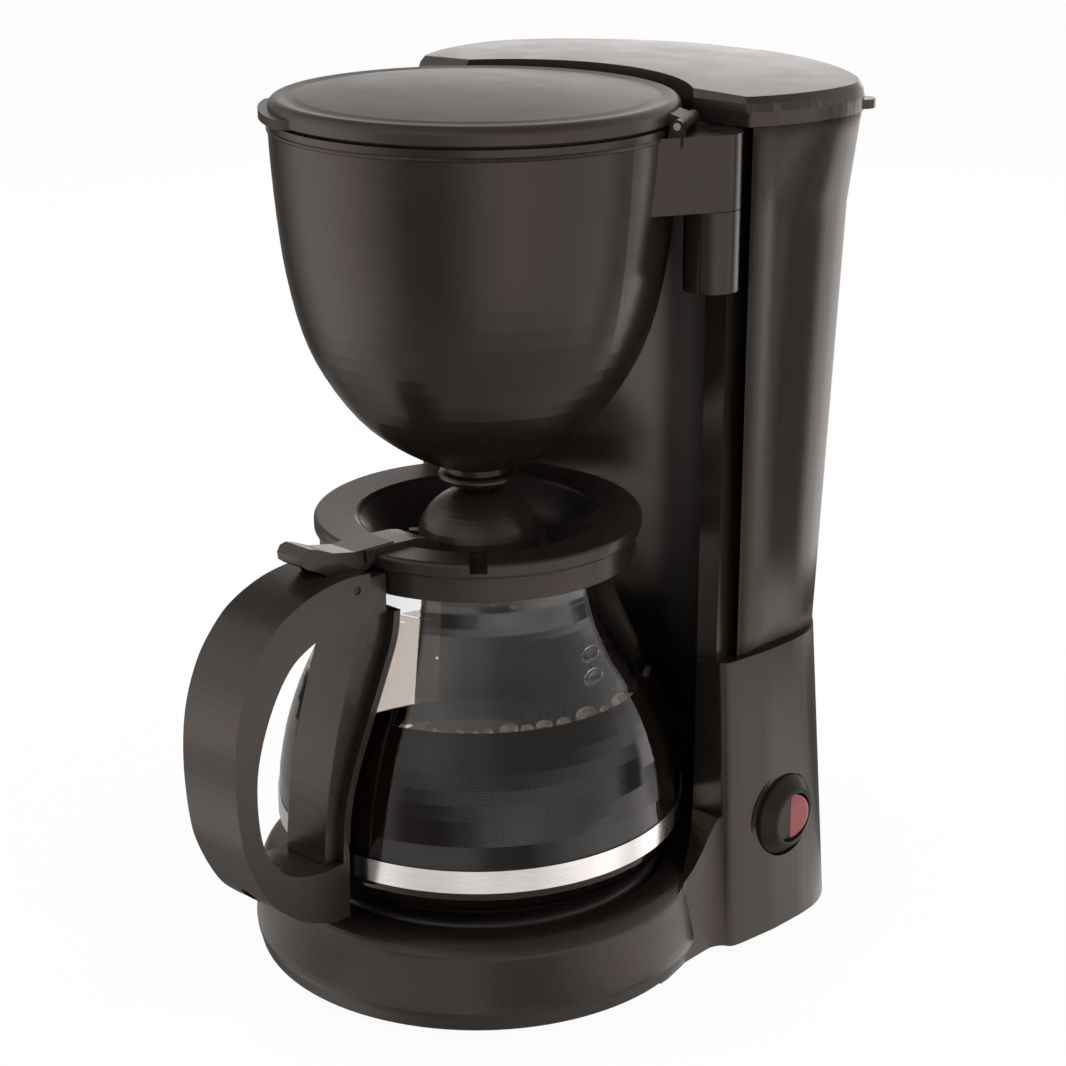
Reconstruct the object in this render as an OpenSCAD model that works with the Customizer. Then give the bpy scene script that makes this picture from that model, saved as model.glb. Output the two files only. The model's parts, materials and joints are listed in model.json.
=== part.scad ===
// Drip coffee maker with a swing-out filter, a rear water tank and a glass carafe.
// Millimetres, +Z up, front at -Y, right side (power switch) at +X.

/* [Overall] */
// Height of the rubber feet below the housing
foot_h = 4; // [3:0.5:6]
// Radius of the round hot-plate drum
drum_r = 84; // [82:0.5:86]
// Top of the drum rim above the table
drum_top = 36.6; // [35:0.2:38]
// Height of the seam between lower housing and tank
seam_z = 114; // [110:1:118]
// Half width of the lower housing at its foot
house_w = 89.5; // [87:0.5:91]
// Half width of the housing at the seam
seam_w = 81.3; // [80.5:0.2:82]
// Half width of the tank at the seam
tank_low_w = 79; // [78.6:0.2:80]
// Half width of the tank at its rim
tank_w = 87; // [86:0.5:88]
// Distance from brew axis to the rear of the housing foot
rear_y = 145; // [142:1:150]
// Thickness of the moulded walls
wall = 2.4; // [2:0.2:2.8]

/* [Column and lids] */
// Radius of the concave bay round the carafe
bay_r = 79; // [78:0.5:80]
// Radius of the back of the hollow column
column_r = 93; // [92:0.5:95]
// Top of the column and tank rim
rim_z = 304; // [302:0.5:304.5]
// Top edge of both lids
lid_z = 313.5; // [312:0.5:315]
// Rise of the lid crowns above their edges
crown = 2.6; // [1:0.2:4]

/* [Filter holder] */
// Radius of the filter lid
flid_r = 69.2; // [68:0.2:70]
// Bottom of the filter holder bowl
bowl_z = 184; // [182:0.5:186]
// Distance of the swing hinge to the right of the brew axis
hinge_x = 71; // [70.6:0.2:71.4]
// Distance of the swing hinge behind the brew axis
hinge_y = 39.4; // [38.6:0.2:39.6]
// Radius of the hinge barrels
barrel_r = 9.5; // [9:0.25:9.5]
// Radius of the swing hinge pin
pin_r = 2.5; // [2:0.25:2.75]

/* [Carafe] */
// Largest radius of the glass
glass_r = 74.2; // [72:0.2:75]
// Radius of the glass neck
neck_r = 48; // [46:0.5:50]
// Thickness of the glass
glass_t = 2.2; // [1.8:0.2:2.6]
// Radius of the carafe lid
clid_r = 58.3; // [57:0.1:59]
// Width of the handle strap
strap_w = 26; // [22:1:30]
// Reach of the handle in front of the brew axis
reach = 128; // [124:1:130]

/* [Switch] */
// Radius of the recess round the power switch
recess_r = 15.8; // [15.6:0.2:17]
// Height of the switch above the table
switch_z = 47.5; // [44:0.5:52]
// Distance of the switch behind the brew axis
switch_y = 74; // [70:1:80]

/* [Hidden] */

$fn = 96;
smooth = 48;                // facets on small rounds
e = 0.01;                   // overlap of cutting solids

hinge_rear = rear_y + 2.5;  // tank lid hinge axis
tank_knuckle = 3.4;
mid_y = (hinge_rear + tank_knuckle - reach) / 2;   // middle of the depth, used as origin

yf_foot = 43;               // front face of the housing foot
yf = 46;                    // front face of column and tank at the seam
yf_top = 51.5;              // front face of the tank at its rim
taper_y = 73;               // the housing tapers about this depth
house_s = seam_w / house_w;
tank_mid_z = rim_z - 32;    // above this height the tank flares more
col_half = 73;              // half width of the column
gap = 0.4;                  // clearance between neighbouring mouldings

plate_z = drum_top + 0.2;   // top of the warming plate
ledge_z = plate_z - 5.6;
plate_r = 66.5;
plate_t = 1.5;
seal_t = 1.2;
rim_in = 70;                // inner radius of the drum rim

deck_t = 3;                 // top wall of the lower housing
riser_y = 86;               // riser tube behind the brew axis
riser_r = 3.4;
riser_bore = 2.4;
hose_r = 4.4;
hose_bore = 3.4;
outlet_x = 38;              // tank outlet to the right of the middle
valve_top = 80;             // lower end of the check valve spigot
heater_low = 17.5;          // height of the water tube in the heater
heater_ends = [[0, 46], [outlet_x, 26]];
spout_z = rim_z - 5.2;
spout_tip = 56;
boss_sites = [[32, -54.5], [-32, -54.5], [70, 98], [-70, 98], [0, 128]];
foot_sites = [[0, -64], [56, -31], [-56, -31], [78, 78], [-78, 78]];

barrel_top = 303.7;
barrel_mid = 278.5;
barrel_low = 251;
fhinge_a = 25;              // direction of the filter lid hinge
fhinge_r = 72.4;
fhinge_z = lid_z - 6;
knuckle_r = 2.2;
thinge_z = rim_z + 4;       // axis of the tank lid hinge
lid_bottom = lid_z - 6.8;
fpin_r = 1.25;
lip_a = 232;                // direction of the filter lid finger lip

nozzle_r = 14;
nozzle_z = 176.6;
valve_r = 2.4;
run = 0.06;                 // running clearance of pins and plungers

house_x = house_w * (1 - (1 - house_s) * (switch_z - foot_h) / (seam_z - foot_h));
switch_face = house_x - 2;
rocker_x = switch_face - 0.1;

glass_z = plate_z + 0.1;    // bottom of the glass
band_z = 53;
band_h = 8.4;
band_t = 0.5;
collar_z = 152.5;
clid_z = 161.5;
dome_top = 175.6;
dome_r = 22;
cpin_y = -72;
cpin_z = 159;
cpin_r = 1.5;

// ---- helpers -------------------------------------------------------------

function mix(a, b, c, d, t) = 0.5 * (2 * b + (c - a) * t + (2 * a - 5 * b + 4 * c - d) * t * t
    + (3 * b - a - 3 * c + d) * t * t * t);
// Smooth curve through a few control points, n steps between each pair
function curve(p, n = 3) = [for (i = [0:len(p) - 2], k = [0:n - 1])
    mix(p[max(i - 1, 0)], p[i], p[i + 1], p[min(i + 2, len(p) - 1)], k / n), p[len(p) - 1]];
function arc(c, r, a, b, n = 8) = [for (k = [0:n]) c + r * [cos(a + (b - a) * k / n),
    sin(a + (b - a) * k / n)]];
function back(p) = [for (i = [len(p) - 1:-1:0]) p[i]];
function unit(v) = v / norm(v);
// The curve moved sideways by t, to its left
function beside(p, t) = [for (i = [0:len(p) - 1])
    let(d = unit(p[min(i + 1, len(p) - 1)] - p[max(i - 1, 0)])) p[i] + t * [-d[1], d[0]]];

module place() { translate([0, -mid_y, 0]) children(); }
module rod(r, h, z = 0) { translate([0, 0, z]) cylinder(r = r, h = h); }
module tube(r, bore, h, z = 0) {
    translate([0, 0, z]) difference() {
        cylinder(r = r, h = h);
        translate([0, 0, -1]) cylinder(r = bore, h = h + 2);
    }
}
module along_x(x, y, z) { translate([x, y, z]) rotate([0, 90, 0]) children(); }
// A profile drawn in depth and height, made w wide across the machine
module side_profile(w) { rotate([90, 0, 90]) linear_extrude(height = w, center = true) children(); }

// Everything left of a bowed right side
module side_limit(w, r, y) {
    translate([w - r, y]) {
        circle(r = r);
        translate([-300, -r]) square([300, 2 * r]);
    }
}
// Plan of the housing and tank at half width w: bowed sides, rounded rear, front face at front
module rear_plan(w, rear, front, inset = 0, rear_r = 106, side_r = 170, side_y = 82, corner = 4) {
    offset(r = corner, $fn = 40) offset(delta = -corner - inset) intersection() {
        offset(r = 30, $fn = 64) offset(delta = -30) intersection() {
            translate([0, rear - rear_r]) circle(r = rear_r);
            side_limit(w, side_r, side_y);
            mirror([1, 0]) side_limit(w, side_r, side_y);
        }
        translate([-120, front]) square([240, 200]);
    }
}
module house_block(inset, z0, z1) {
    h = z1 - z0;
    s = 1 - (1 - house_s) * h / (seam_z - foot_h);
    translate([0, taper_y, z0]) linear_extrude(height = h, scale = s) translate([0, -taper_y])
        rear_plan(house_w, rear_y, yf_foot, inset);
}
// The tank changes from a boxy plan at the seam to a rounder, wider one at the rim
module tank_low(z, t) {
    translate([0, 0, z]) linear_extrude(height = e)
        rear_plan(tank_low_w, rear_y - 8.5, yf, t, 101, 261, 84, 2);
}
module tank_mid(t) {
    translate([0, 0, tank_mid_z]) linear_extrude(height = e)
        rear_plan((tank_low_w + tank_w) / 2, rear_y - 2.4, yf_top - 0.9, t, 107.5, 160, 86, 2);
}
module tank_high(z, t) {
    translate([0, 0, z]) linear_extrude(height = e)
        rear_plan(tank_w, rear_y, yf_top, t, 113, 83, 90, 2);
}
module tank_block(t, z0, z1) {
    difference() {
        union() {
            hull() {
                tank_low(z0, t);
                tank_mid(t);
            }
            hull() {
                tank_mid(t);
                tank_high(z1 - e, t);
            }
        }
        rod(column_r + gap + t, 400);
        translate([-col_half - gap - t, 0, 0]) cube([2 * (col_half + gap + t), 60 + t, 400]);
    }
}

// ---- base ----------------------------------------------------------------

drum_outer = concat([[0, foot_h], [drum_r - 2.6, foot_h]], arc([drum_r - 2.4, foot_h + 1.4], 1.4, -80, 0, 5),
    curve([[drum_r - 0.6, foot_h + 3], [drum_r + 0.3, foot_h + 7.5], [drum_r - 0.6, foot_h + 15],
    [drum_r - 1.8, drum_top - 9]], 3), arc([drum_r - 9, drum_top - 7], 7, 10, 90, 8), [[0, drum_top]]);

// The necks that blend the drum into the front corners of the housing
module neck_plan() {
    intersection() {
        offset(r = -8, $fn = 48) offset(delta = 8) union() {
            circle(r = drum_r - 1);
            rear_plan(house_w - 0.1, rear_y - 0.1, yf_foot + 0.1);
            translate([-79.6, 10]) square([159.2, 40]);
        }
        union() {
            translate([66, 6]) square([24, 48]);
            translate([-90, 6]) square([24, 48]);
        }
    }
}
module necks() {
    intersection() {
        translate([0, taper_y, foot_h]) linear_extrude(height = 60,
            scale = 1 - (1 - house_s) * 60 / (seam_z - foot_h)) translate([0, -taper_y]) neck_plan();
        side_profile(200) polygon([[0, foot_h], [0, drum_top - 7], [16, drum_top - 5], [24, drum_top - 1.6],
            [30, drum_top + 1.8], [36, drum_top + 7], [40, drum_top + 12], [43.4, drum_top + 18],
            [48, drum_top + 22], [60, drum_top + 22], [60, foot_h]]);
    }
}
module cover_plan(t = 0) {
    circle(r = drum_r - wall - 1 + t);
    rear_plan(house_w - wall - 0.6 + t, rear_y - wall - 0.6 + t, yf_foot + wall + 0.6 - t);
}
module bay_cut(r, z0, z1) { rod(r, z1 - z0, z0); }
module boss(p, r, bore, z0, z1) {
    translate([p[0], p[1], 0]) difference() {
        rod(r, z1 - z0, z0);
        rod(bore, 14, z0 - 1);
    }
}
module base_housing() color("#2b2622") place() {
    difference() {
        union() {
            rotate_extrude() polygon(drum_outer);
            difference() {
                union() {
                    house_block(0, foot_h, seam_z);
                    necks();
                }
                bay_cut(bay_r, drum_top, seam_z + 1);
            }
        }
        // hollow drum, open below, with a seat for the hot plate
        rod(drum_r - wall - 0.6, ledge_z - wall - foot_h + 1, foot_h - 1);
        translate([0, 0, foot_h - 1]) linear_extrude(height = 3.8) cover_plan(0.3);
        rod(rim_in, 20, ledge_z);
        rod(plate_r - 6, 40, foot_h - 1);
        difference() {
            house_block(wall, foot_h - 1, seam_z - deck_t);
            bay_cut(bay_r + wall, ledge_z - wall, seam_z);
        }
        // riser, tank outlet and cord holes
        translate([0, riser_y, 0]) rod(riser_r + 0.3, 20, seam_z - 10);
        translate([outlet_x, 100, 0]) rod(6.3, 20, seam_z - 10);
        translate([0, rear_y + 6, 22]) rotate([90, 0, 0]) rod(5, 20);
        // switch recess and hole
        along_x(switch_face, switch_y, switch_z) rod(recess_r, 20);
        along_x(switch_face - 20, switch_y, switch_z) rod(10.2, 40);
    }
    // switch pocket behind the recess
    difference() {
        along_x(switch_face - wall, switch_y, switch_z) rod(recess_r + wall, wall);
        along_x(switch_face - 20, switch_y, switch_z) rod(10.2, 40);
    }
    intersection() {
        along_x(switch_face - wall, switch_y, switch_z) tube(recess_r + wall, recess_r, 12);
        house_block(0.4, foot_h, seam_z);
    }
    for (p = boss_sites) boss(p, 4, 1.5, foot_h + 3, (p[1] > 0) ? seam_z - deck_t + e : ledge_z - wall + e);
}

module base_cover() color("#1f1c1a") place() difference() {
    translate([0, 0, foot_h + 0.4]) linear_extrude(height = 2.2) cover_plan();
    for (p = boss_sites) translate([p[0], p[1], 0]) rod(1.8, 20);
    for (p = foot_sites) translate([p[0], p[1], 0]) rod(2.5, 20);
    for (x = [-24:8:24]) translate([x - 1.5, 20, 0]) cube([3, 26, 20]);
}

module rubber_feet() color("#151413") place() for (p = foot_sites) translate([p[0], p[1], 0]) {
    rod(4.2, 1.4);
    rod(5.5, foot_h + 0.4 - 1.4, 1.4);
    rod(2.5, 2.2, foot_h + 0.4);
}

module cover_screws() color("silver") place() for (p = boss_sites) translate([p[0], p[1], 0]) {
    difference() {
        rod(3.2, 1.4, foot_h - 1);
        translate([-2.2, -0.4, 0]) cube([4.4, 0.8, foot_h - 0.4]);
        translate([-0.4, -2.2, 0]) cube([0.8, 4.4, foot_h - 0.4]);
    }
    rod(1.5, 11, foot_h + 0.4);
}

module warming_plate() color("#1c1b1b") place() rotate_extrude() polygon(concat(
    [[0, plate_z - plate_t], [plate_r - 4, plate_z - plate_t], [plate_r - 4, ledge_z + seal_t],
    [plate_r, ledge_z + seal_t]], arc([plate_r - 2, plate_z - 2], 2, 0, 90, 6), [[0, plate_z]]));

module plate_seal() color("#3a3a3a") place() tube(rim_in, plate_r - 6, seal_t, ledge_z);

module heater() color("#b9bbbd") place() {
    top = plate_z - plate_t;
    rotate([0, 0, 90]) difference() {
        rotate_extrude(angle = 304) difference() {
            union() {
                translate([30, top - 5]) square([22, 5]);
                translate([35.5, top - 8]) circle(r = 4.5, $fn = smooth);
                translate([46, top - 8]) circle(r = 5, $fn = smooth);
            }
            translate([20, top]) square([50, 20]);
            translate([46, top - 8]) circle(r = 3.2, $fn = smooth);
        }
    }
    // elbows down to the two spigots that the hoses push onto
    for (p = heater_ends) translate([p[0], p[1], 0]) difference() {
        union() {
            translate([-4.6, -4.6, heater_low - 5]) cube([9.2, 9.2, top - 3 - heater_low + 5]);
            translate([0, 0, heater_low]) rotate([-90, 0, 0]) rod(hose_bore, 16);
        }
        translate([0, 0, heater_low]) rotate([-90, 0, 0]) rod(2.2, 20);
        rod(1.8, 9.8, heater_low);
    }
}
// Pressed strap across the heater, bolted to the drum ledge on both sides
module heater_bracket() color("#9a9c9e") place() {
    low = plate_z - plate_t - 13;
    side_low = ledge_z - wall;
    difference() {
        union() {
            translate([-52, -6, low - 1.2]) cube([104, 12, 1.2]);
            for (s = [-1, 1]) {
                translate([s * 52 - 0.6, -6, low - 1.2]) cube([1.2, 12, side_low - low + 1.2]);
                translate([s > 0 ? 51.4 : -68, -6, side_low - 1.2]) cube([16.6, 12, 1.2]);
            }
        }
        rod(4, 60);
    }
    for (s = [-1, 1]) translate([s * 64, 0, side_low - 2.6]) rod(2.8, 1.6);
}
module thermostat() color("#c9c5b4") place() {
    translate([0, -18, plate_z - plate_t - 9]) {
        difference() {
            rod(8, 9);
            translate([0, 0, -1]) rod(5.5, 3);
        }
        for (s = [-1, 1]) translate([s * 3.4 - 0.4, -2, -5]) cube([0.8, 4, 7]);
    }
}
module thermal_fuse() color("#d8d2c2") place() {
    along_x(-14, 14, plate_z - plate_t - 2.2) {
        rod(2.2, 12, 8);
        rod(0.5, 28);
    }
}

// ---- water path ----------------------------------------------------------

// Straight hose with a bend into a level run forward to the heater
module hose(x, y, top, end) {
    bend = 11;
    translate([x, y, heater_low + bend]) tube(hose_r, hose_bore, top - heater_low - bend);
    translate([x, y - bend, heater_low + bend]) rotate([0, 90, 0]) rotate([0, 0, 90]) mirror([0, 1, 0])
        rotate_extrude(angle = 90) translate([bend, 0]) difference() {
            circle(r = hose_r, $fn = smooth);
            circle(r = hose_bore, $fn = smooth);
        }
    translate([x, y - bend, heater_low]) rotate([90, 0, 0]) tube(hose_r, hose_bore, y - bend - end);
}
module inlet_hose() color("#e6e2da") place() hose(outlet_x, 100, valve_top + 12, heater_ends[1][1] + 7);
module outlet_hose() color("#e6e2da") place() hose(0, riser_y, 82, heater_ends[0][1] + 7);
module check_valve() color("#f0efe9") place() translate([outlet_x, 100, 0]) difference() {
    union() {
        rod(hose_bore, 14, valve_top);
        rod(7, seam_z - deck_t - valve_top - 14.3, valve_top + 14);
        rod(6, deck_t + 0.3, seam_z - deck_t - 0.3);
    }
    rod(2.4, 60, valve_top - 1);
}
module riser_tube() color("#e9e7e0") place() translate([0, riser_y, 0])
    tube(riser_r, riser_bore, spout_z - 5 - 70, 70);

module outlet_spout() color("#26221f") place() difference() {
    union() {
        translate([0, riser_y, spout_z]) rotate([90, 0, 0]) rod(4.4, riser_y - spout_tip);
        translate([0, riser_y, 0]) rod(4.4, 9, spout_z - 5);
        translate([0, spout_tip + 4.4, 0]) rod(4.4, 5, spout_z - 5);
    }
    translate([0, riser_y + 1, spout_z]) rotate([90, 0, 0]) rod(2.8, riser_y - spout_tip - 2);
    translate([0, riser_y, 0]) rod(riser_bore, 6, spout_z - 6);
    translate([0, spout_tip + 4.4, 0]) rod(2.8, 6, spout_z - 6);
}

// ---- column and tank ------------------------------------------------------

module column_plan(t = 0) {
    intersection() {
        difference() {
            circle(r = column_r - t);
            circle(r = bay_r + t);
        }
        translate([-col_half + t, yf + t]) square([2 * (col_half - t), 100]);
    }
}
module column_shell() color("#231f1c") place() difference() {
    union() {
        translate([0, 0, seam_z]) linear_extrude(height = rim_z - seam_z - 0.4) column_plan();
        translate([hinge_x, hinge_y, 0]) rod(barrel_r, barrel_mid - barrel_low, barrel_low);
        // web that ties the lower barrel into the pillar
        translate([hinge_x - 5, hinge_y, barrel_low]) cube([6, 14, barrel_mid - barrel_low]);
    }
    // the pillars stand back beside and above the lower barrel
    translate([-100, yf_top - 20.6, barrel_mid]) cube([200, 20, 60]);
    translate([0, 0, seam_z - 1]) linear_extrude(height = rim_z - seam_z - 2.6) column_plan(wall);
    translate([0, bay_r + 7, spout_z]) rotate([90, 0, 0]) rod(4.7, 30);
    translate([-4.7, bay_r - 3, spout_z]) cube([9.4, 15, 20]);
    translate([hinge_x, hinge_y, 0]) rod(pin_r, 60, barrel_low + 2);
    for (a = [0, 40]) translate([hinge_x, hinge_y, 0]) rotate([0, 0, 250 + a])
        translate([barrel_r - 0.7, -0.9, barrel_low + e]) cube([2, 1.8, 60]);
}

module water_tank() color([0.16, 0.14, 0.14, 0.8]) place() difference() {
    union() {
        difference() {
            tank_block(0, seam_z, rim_z);
            tank_block(wall, seam_z + wall, rim_z + 1);
        }
        translate([outlet_x, 100, 0]) rod(10, 3, seam_z + e);
        // knuckle of the lid hinge and its root on the rear wall
        along_x(-11, hinge_rear, thinge_z) rod(tank_knuckle, 22);
        translate([-11, rear_y - 4.6, thinge_z - 19]) cube([22, 3.6, 14.8]);
        side_profile(22) polygon([[hinge_rear - 4.4, thinge_z - 20.5], [hinge_rear + tank_knuckle,
            thinge_z], [hinge_rear, thinge_z], [hinge_rear - 5, thinge_z - 5]]);
    }
    along_x(-12, hinge_rear, thinge_z) rod(1.5 + run, 24);
    translate([outlet_x, 100, 0]) rod(3, 60, seam_z - 20);
    translate([outlet_x, 100, 0]) rod(6.2, 1.4, seam_z - 1);
}
module tank_gasket() color("#5c5955") place() translate([outlet_x, 100, 0])
    tube(6.2, 3, 0.4, seam_z);

module lid_outline(inset = 0) {
    rear_plan(tank_w + 0.5, rear_y + 0.6, yf_top - 1, inset, 113.5, 79, 90, 2);
}
module lid_plan(inset = 0) {
    difference() {
        lid_outline(inset);
        circle(r = flid_r + 4.3 + inset);
    }
}
// Block with sloping sides: outline scaled about the middle of the lid, k0 below and k1 above
module lid_slope(k0, k1) {
    translate([0, 98, lid_z - 12]) linear_extrude(height = 18, scale = k1 / k0) scale(k0)
        translate([0, -98]) lid_outline();
}
module crown_lens(edge, rise, r, cx, cy) {
    n = 10;
    translate([cx, cy, 0]) rotate_extrude() polygon(concat([[0, edge - 40], [r, edge - 40]],
        [for (k = [0:n]) [r * (1 - k / n), edge + rise * (1 - pow(1 - k / n, 2))]]));
}
module tank_lid() color("#4a4542") place() difference() {
    union() {
        difference() {
            intersection() {
                translate([0, 0, rim_z + 0.3]) linear_extrude(height = 20) lid_outline();
                lid_slope(1.0228, 0.9688);
                lid_slope(1.0874, 0.92);
                crown_lens(lid_z - 0.6, crown, 112, 0, 92);
            }
            rod(flid_r + 4.3, 400);
            translate([0, 0, rim_z - 1]) linear_extrude(height = lid_z - rim_z - 1.2)
                lid_plan(2.2);
        }
        // finger tab at the right
        translate([tank_w - 7.5, 111.4, rim_z + 0.3]) rod(5, 3.2);
        for (s = [-1, 1]) {
            along_x(s > 0 ? 11.4 : -19.4, hinge_rear, thinge_z) rod(tank_knuckle, 8);
            translate([s > 0 ? 11.4 : -19.4, rear_y - 7, thinge_z]) cube([8, 9.5, tank_knuckle]);
            translate([s > 0 ? 11.4 : -19.4, rear_y - 7, thinge_z]) cube([8, 6, lid_z - thinge_z - 1]);
        }
    }
    along_x(-30, hinge_rear, thinge_z) rod(1.5, 60);
    translate([-11.4, rear_y - 2.6, rim_z - 1]) cube([22.8, 14, 30]);
}
module tank_lid_pin() color("silver") place() along_x(-19, hinge_rear, thinge_z) rod(1.5, 38);

// ---- filter holder ---------------------------------------------------------

bowl = curve([[69.5, lid_bottom - 0.3], [69, 294], [67.5, 274], [65, 254], [60.3, 234], [53.6, 219],
    [43, 204], [31.5, bowl_z + 10], [20, bowl_z + 3.2], [nozzle_r - 2, bowl_z]], 3);
bowl_in = beside(bowl, -2.2);

module bowl_solid() { rotate_extrude() polygon(concat(bowl, [[0, bowl_z], [0, lid_bottom - 0.3]])); }
module bowl_hollow() {
    rotate_extrude() polygon(concat([[0, lid_bottom + 4], [bowl_in[0][0], lid_bottom + 4]], bowl_in,
        [[nozzle_r - 4.2, bowl_z + 2.4], [nozzle_r - 4.2, bowl_z - 1], [0, bowl_z - 1]]));
}
module arm_plan() {
    translate([hinge_x, hinge_y]) circle(r = barrel_r);
    polygon([[66.5, 12], [hinge_x + 0.885 * barrel_r, hinge_y - 0.466 * barrel_r], [hinge_x, hinge_y],
        [hinge_x - 0.25 * barrel_r, hinge_y + 0.968 * barrel_r], [50, 42], [40, 20]]);
}
module filter_holder() color("#2a2521") place() difference() {
    union() {
        difference() {
            union() {
                bowl_solid();
                translate([0, 0, barrel_mid + 0.3]) linear_extrude(height = barrel_top - barrel_mid)
                    arm_plan();
                // rim bead
                rotate_extrude() translate([69.2, lid_bottom - 3.4]) circle(r = 0.8, $fn = smooth);
            }
            bowl_hollow();
        }
        // ledge that carries the filter frame
        rotate_extrude() polygon([[62, cone_top - 2], [66.8, cone_top - 4.4], [66.8, cone_top],
            [62, cone_top]]);
        // lugs that carry the filter lid
        lid_lugs();
    }
    translate([hinge_x, hinge_y, 0]) rod(pin_r + run, 60, barrel_mid - 5);
    // notch for the water spout
    translate([-6, 50, spout_z - 8]) cube([18, 30, 40]);
    lid_hinge() rod(fpin_r, 40, -20);
}
// Children drawn about the hinge axis of the filter lid
module lid_hinge() {
    rotate([0, 0, fhinge_a]) translate([fhinge_r, 0, fhinge_z]) rotate([-90, 0, 0]) children();
}
module lid_lugs() {
    for (s = [-1, 1]) difference() {
        rotate([0, 0, fhinge_a]) translate([fhinge_r, s * 9.2, 0]) union() {
            translate([0, -2, fhinge_z]) rotate([-90, 0, 0]) rod(knuckle_r, 4);
            rotate([90, 0, 0]) linear_extrude(height = 4, center = true) polygon([[-10, 286], [-5, 291],
                [knuckle_r, fhinge_z - 6], [knuckle_r, fhinge_z], [-knuckle_r, fhinge_z],
                [-3, lid_bottom - 3], [-8, 303]]);
        }
        bowl_hollow();
    }
}
module swing_pin() color("silver") place() translate([hinge_x, hinge_y, 0])
    rod(pin_r, barrel_top - barrel_low - 3, barrel_low + 2);

module filter_lid() color("#4d4744") place() difference() {
    union() {
        difference() {
            rotate_extrude() polygon(concat([[0, lid_bottom + 0.2], [flid_r - 0.6, lid_bottom + 0.2],
                [flid_r, lid_bottom + 0.9]], arc([flid_r - 3, lid_z - 3], 3, 0, 90, 7),
                [[64.4, lid_z - 0.2], [62.8, lid_z - 0.4], [61.2, lid_z - 0.25], [59.5, lid_z + 0.15]],
                [for (k = [1:9]) [59.5 * (1 - k / 9), lid_z + 0.15 + crown * (1 - pow(1 - k / 9, 2))]]));
            rod(flid_r - 2.2, 3.6, lid_bottom - 1);
        }
        // locating ring inside the holder rim
        difference() {
            tube(66.6, 65, 6, lid_bottom - 3.4);
            translate([-9, 40, lid_bottom - 5]) cube([26, 40, 6.5]);
            rotate([0, 0, fhinge_a]) translate([50, -14, lid_bottom - 5]) cube([30, 28, 5]);
        }
        // finger lip
        rotate([0, 0, lip_a]) intersection() {
            difference() {
                rod(flid_r + 3.2, 3, lid_bottom + 0.4);
                rod(flid_r - 1, 9, lid_bottom - 1);
            }
            translate([49, 0, 0]) rod(30, 400);
        }
        // sloping lug to the hinge knuckle
        rotate([0, 0, fhinge_a]) {
            translate([fhinge_r, -6.8, fhinge_z]) rotate([-90, 0, 0]) rod(knuckle_r, 13.6);
            rotate([90, 0, 0]) linear_extrude(height = 13.6, center = true) polygon([[62, lid_z - 3],
                [62, lid_z - 1.4], [66, lid_z - 1.6], [fhinge_r + 1, fhinge_z + 2], [fhinge_r, fhinge_z - 2],
                [66, lid_bottom + 1]]);
        }
    }
    lid_hinge() rod(fpin_r + run, 40, -20);
}
module filter_lid_pin() color("silver") place() lid_hinge() rod(fpin_r, 22, -11);

cone_top = 284;
cone_low = 200;
tray_z = cone_top + 1.8;
module shower_tray() color("#d9d5cc") place() difference() {
    union() {
        rod(63, 1.6, tray_z);
        tube(44, 42.4, lid_bottom - 0.6 - tray_z, tray_z);
        translate([-9, 36, tray_z]) cube([20, 26, 6]);
    }
    translate([-7.4, 30, tray_z + 1.6]) cube([16.8, 30.4, 40]);
    translate([-9.5, 36, tray_z + 6]) cube([21, 30, 30]);
    rod(1.6, 20, tray_z - 5);
    for (ring = [[6, 14], [10, 26]]) for (k = [0:ring[0] - 1]) rotate([0, 0, 360 * k / ring[0]])
        translate([ring[1], 0, tray_z - 5]) rod(1.6, 20);
}

function cone_at(z) = 24 + (60 - 24) * (z - cone_low) / (cone_top - cone_low);
module cone_ring(z0, z1, t, out = 0) {
    rotate_extrude() polygon([[cone_at(z0) + out - t, z0], [cone_at(z0) + out, z0],
        [cone_at(z1) + out, z1], [cone_at(z1) + out - t, z1]]);
}
module filter_frame() color("#2c2825") place() {
    cone_ring(cone_top - 6, cone_top, 1.6);
    rotate_extrude() polygon([[58.4, cone_top], [65.6, cone_top], [65.6, cone_top + 1.8],
        [58.4, cone_top + 1.8]]);
    cone_ring(cone_low, cone_low + 5, 1.6);
    rod(cone_at(cone_low), 1.6, cone_low);
    for (k = [0:5]) rotate([0, 0, 60 * k]) rotate([90, 0, 0]) linear_extrude(height = 3, center = true)
        polygon([[cone_at(cone_low + 1) - 1.6, cone_low + 1], [cone_at(cone_low + 1), cone_low + 1],
            [cone_at(cone_top - 1), cone_top - 1], [cone_at(cone_top - 1) - 1.6, cone_top - 1]]);
}
module filter_mesh() color("#b08d57") place() cone_ring(cone_low + 1.7, cone_top - 0.2, 0.5, -1.66);

module nozzle_collar() color("#24201d") place() {
    difference() {
        union() {
            rod(nozzle_r - 4.4, 6.4, bowl_z - 4);
            rod(nozzle_r - 2.5, 4.1, bowl_z - 4.1);
            rotate_extrude() polygon(concat([[0, nozzle_z], [8.6, nozzle_z], [9.2, nozzle_z + 0.6],
                [9.4, nozzle_z + 1.7]], arc([nozzle_r - 1.8, nozzle_z + 3.2], 1.8, -120, 90, 9),
                [[nozzle_r - 3.4, nozzle_z + 5.6], [0, nozzle_z + 5.6]]));
        }
        rod(valve_r + run, 30, nozzle_z - 1);
        rod(8, 6.2, bowl_z - 1.8);
        for (k = [0:3]) rotate([0, 0, 90 * k]) translate([4.6, 0, nozzle_z - 1]) rod(1.2, 12);
    }
}
module drip_valve() color("#8d8a86") place() {
    rod(valve_r, 9, nozzle_z - 0.6);
    rod(6.4, 1.4, spring_low - 1.4);
    rod(valve_r - 0.9, 9, bowl_z - 1);
}
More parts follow.
